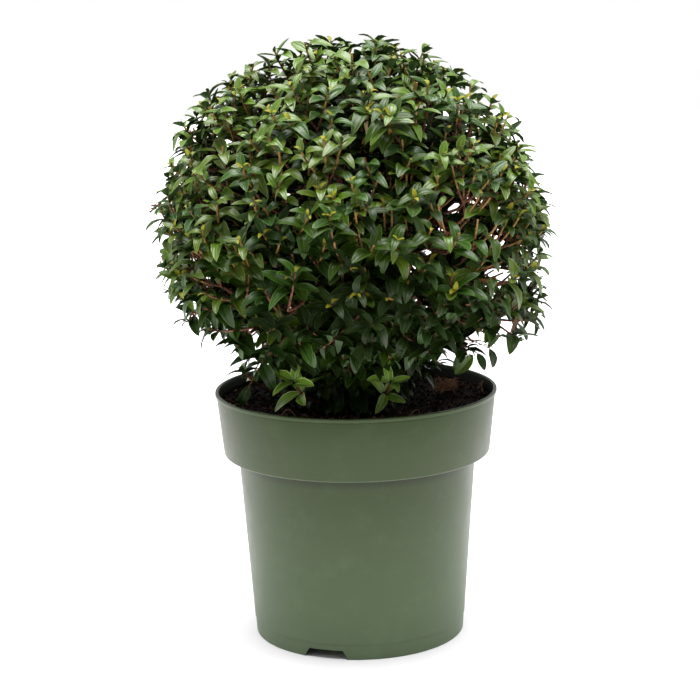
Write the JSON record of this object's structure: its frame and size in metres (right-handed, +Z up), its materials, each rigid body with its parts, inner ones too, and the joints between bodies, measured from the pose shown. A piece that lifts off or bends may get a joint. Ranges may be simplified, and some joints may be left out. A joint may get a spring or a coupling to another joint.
{
  "type": "potted clipped ball shrub",
  "caption": "Small-leaved evergreen shrub clipped to a ball on a short hidden stem, low over its plastic grower's pot, with young shoots at its foot.",
  "frame": {"origin": "centre of the pot's underside, on the ground plane it stands on; the pot's axis is the Z axis", "axes": "+Z up, -Y the front (the side that faces the viewer), +X to the viewer's right"},
  "size_m": [0.318, 0.3161, 0.4883],
  "materials": {
    "pot_plastic": "satin moulded",
    "potting_mix": "matte crumbly",
    "bark": "matte",
    "leaf_green": "semi-gloss",
    "young_leaf_green": "semi-gloss"
  },
  "bodies": {
    "root": {"pot": "pot_plastic", "potting_mix": "potting_mix", "main_stem": "bark", "bough_1": "bark", "bough_2": "bark", "bough_3": "bark", "bough_4": "bark", "bough_5": "bark", "bough_6": "bark", "crown_foliage": "leaf_green", "low_shoot_left": "young_leaf_green", "low_shoot_right": "young_leaf_green", "low_shoot_side": "young_leaf_green"}
  },
  "joints": []
}
